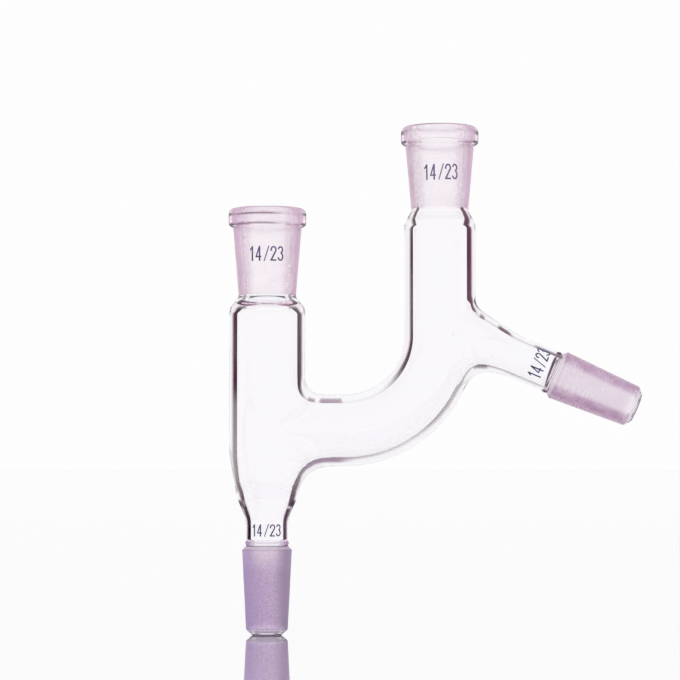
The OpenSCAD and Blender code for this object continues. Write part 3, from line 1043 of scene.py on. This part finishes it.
def flat_numerals():
    """The flat line of numerals as vertices and faces: strokes fused, then cut fine enough to bend."""
    verts, faces = [], []
    for strokes in STROKES:
        obs = [stroke_prism(pts, w, -0.02, 0.03) for pts, w in strokes]
        for i, other in enumerate(obs[1:]):
            m = obs[0].modifiers.new(f"u{i}", "BOOLEAN")
            m.operation, m.object, m.solver = "UNION", other, "MANIFOLD"
        deps = bpy.context.evaluated_depsgraph_get()
        me = bpy.data.meshes.new_from_object(obs[0].evaluated_get(deps))
        for o in obs:
            old = o.data
            bpy.data.objects.remove(o)
            bpy.data.meshes.remove(old)
        bm = bmesh.new()
        bm.from_mesh(me)
        bpy.data.meshes.remove(me)
        bmesh.ops.remove_doubles(bm, verts=bm.verts, dist=1e-4)
        bmesh.ops.dissolve_limit(bm, angle_limit=0.01, verts=bm.verts, edges=bm.edges)
        for k in range(-17, 18):
            bmesh.ops.bisect_plane(bm, geom=bm.verts[:] + bm.edges[:] + bm.faces[:], dist=1e-4,
                                   plane_co=(k * 0.3 + 0.017, 0, 0), plane_no=(1, 0, 0))
        bmesh.ops.recalc_face_normals(bm, faces=bm.faces)
        bmesh.ops.triangulate(bm, faces=bm.faces)
        bm.verts.index_update()
        base = len(verts)
        verts += [tuple(v.co) for v in bm.verts]
        faces += [[base + v.index for v in fa.verts] for fa in bm.faces]
        bm.free()
    return np.array(verts), faces


def socket_wall(top, depth):
    """The straight outer wall of a socket: its radius at a height."""
    z0, z1 = top - depth - 0.7, top - RIM_H - 0.2
    return lambda z: 8.3 + (10.0 - 8.3) * (z - z0) / (z1 - z0)


def printed(flat, wide, high, tilt, place):
    """Wraps the flat line of numerals: place(u, v) gives the centre of the wall's circle, the radius and the angle's axes."""
    c, s = math.cos(math.radians(tilt)), math.sin(math.radians(tilt))
    u, v = flat[:, 0] * wide, (flat[:, 1] - NUMERAL_H / 2) * high
    u, v = u * c - v * s, u * s + v * c
    return place(u, v, flat[:, 2])


def upright(x0, z0, radius):
    def place(u, v, w):
        r = radius(z0 + v)
        a = u / r
        return np.stack([x0 + (r + w) * np.sin(a), -(r + w) * np.cos(a), z0 + v], 1)
    return place


def on_slanted_neck(h0, turn):
    def place(u, v, w):
        a = u / NECK_R + math.radians(turn)
        out = (NECK_R + w)[:, None] * (np.sin(a)[:, None] * LIFT - np.cos(a)[:, None] * Y)
        return GAUGE + BACK * (h0 + v)[:, None] + out
    return place


def numerals_mesh():
    flat, faces = flat_numerals()
    lines = [
        printed(flat, 1.03, 1.0, 0.0, upright(0.0, 85.9, socket_wall(TOP_Z, TOP_LEN))),
        printed(flat, 1.03, 1.05, 1.2, upright(SIDE_X, 109.7, socket_wall(SIDE_Z, SIDE_LEN))),
        printed(flat, 0.90, 0.82, 0.0, upright(0.0, 5.75, lambda z: NECK_R + 0 * z)),
        printed(flat, 0.95, 0.94, 0.0, on_slanted_neck(6.75, 7.7)),
    ]
    verts = np.concatenate(lines) * MM
    every = [[int(i + k * len(flat)) for i in fa] for k in range(len(lines)) for fa in faces]
    me = bpy.data.meshes.new("joint_size_numerals")
    me.from_pydata(verts.tolist(), [], every)
    me.update()
    return me


glass = bpy.data.objects.new("claisen_adapter_glass", glass_mesh())
bpy.context.scene.collection.objects.link(glass)
for mat in (
    tube_outside("clear_borosilicate_outside"),
    ground_glass("ground_lower_cone", Z, (0.95, 0.88, 0.96), (0.78, 0.63, 0.81), (0.15, 0.8),
                 ((0.66, 0.52, 0.84), (0.76, 0.58, 0.78)), (0.62, 0.66), 0.42, 0.2, 0.70,
                 across=((0.62, 0.46, 0.80), (0.86, 0.66, 0.92), (0.49, 0.38, 0.55), (1.0, 0.88, 0.99)), grain_scale=1900.0),
    ground_glass("ground_outlet_cone", BACK, (0.99, 0.955, 0.98), (0.86, 0.69, 0.84), (0.15, 0.75),
                 ((0.88, 0.77, 0.87), (0.94, 0.84, 0.92)), (0.20, 0.30), 0.30, 0.14, 0.14, streaks=(0.54, 0.29, 0.50)),
    ground_glass("ground_socket", Z, (0.996, 0.978, 0.991), (0.975, 0.80, 0.94), (0.20, 0.78),
                 ((0.95, 0.72, 0.885), (0.97, 0.77, 0.915)), (0.04, 0.38), 0.28, 0.05, 0.06, wall=((0.985, 0.79, 0.945), 0.26)),
    tube_inside("bore_behind_grinding", (0.42, 0.33, 0.42), (0.42, 0.33, 0.42)),
    tube_inside("clear_borosilicate_inside"),
    socket_outside_glass("clear_socket_outside"),
):
    glass.data.materials.append(mat)
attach(glass, "root")
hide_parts("glass_body")

numerals = bpy.data.objects.new("joint_size_numerals", numerals_mesh())
bpy.context.scene.collection.objects.link(numerals)
numerals.data.materials.append(ink())
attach(numerals, "root")

# ---------------------------------------------------------------- floor, light, camera
bm = bmesh.new()
bmesh.ops.create_circle(bm, cap_ends=True, segments=96, radius=6.0)
floor_mesh = bpy.data.meshes.new("floor")
bm.to_mesh(floor_mesh)
bm.free()
floor = bpy.data.objects.new("floor", floor_mesh)
floor.location.z = TIP_Z * MM
bpy.context.scene.collection.objects.link(floor)
mat = bpy.data.materials.new("white_acrylic")
mat.use_nodes = True
nt = mat.node_tree
nt.nodes.clear()
out = nt.nodes.new("ShaderNodeOutputMaterial")
base = node(nt, "ShaderNodeBsdfDiffuse", Color=(0.955, 0.955, 0.96, 1))
gloss = node(nt, "ShaderNodeBsdfGlossy", Color=(0.985, 0.98, 0.99, 1), Roughness=0.03)
low_view = node(nt, "ShaderNodeLayerWeight", Blend=0.5).outputs["Facing"]
join = nt.nodes.new("ShaderNodeMixShader")
nt.links.new(ramp(nt, low_view, 0.55, 0.92, 0.06, 0.94), join.inputs[0])
nt.links.new(base.outputs[0], join.inputs[1])
nt.links.new(gloss.outputs[0], join.inputs[2])
nt.links.new(join.outputs[0], out.inputs["Surface"])
floor_mesh.materials.append(mat)

world = bpy.data.worlds.new("studio")
bpy.context.scene.world = world
world.use_nodes = True
nt = world.node_tree
nt.nodes.clear()
out = nt.nodes.new("ShaderNodeOutputWorld")
back = nt.nodes.new("ShaderNodeBackground")
sep = nt.nodes.new("ShaderNodeSeparateXYZ")
coord = nt.nodes.new("ShaderNodeTexCoord")
nt.links.new(coord.outputs["Generated"], sep.inputs[0])
level = ramp(nt, sep.outputs["Z"], math.sin(math.radians(20)), math.sin(math.radians(40)), 0.985, 0.965)
nt.links.new(level, back.inputs["Strength"])
back.inputs["Color"].default_value = (1, 1, 1, 1)
nt.links.new(back.outputs[0], out.inputs["Surface"])

cam = bpy.data.objects.new("camera", bpy.data.cameras.new("camera"))
bpy.context.scene.collection.objects.link(cam)
cam.location = (0.0213, -0.711, 0.0289)
cam.rotation_euler = (math.radians(90 + 2.6), 0, 0)
cam.data.lens = 36 * 2430 / 680
cam.data.sensor_width = 36
cam.data.clip_start, cam.data.clip_end = 0.01, 50
bpy.context.scene.camera = cam

sc = bpy.context.scene
sc.view_settings.view_transform = "Standard"
sc.cycles.max_bounces = 32
sc.cycles.transmission_bounces = 32
sc.cycles.glossy_bounces = 8
sc.cycles.diffuse_bounces = 4
sc.cycles.transparent_max_bounces = 32
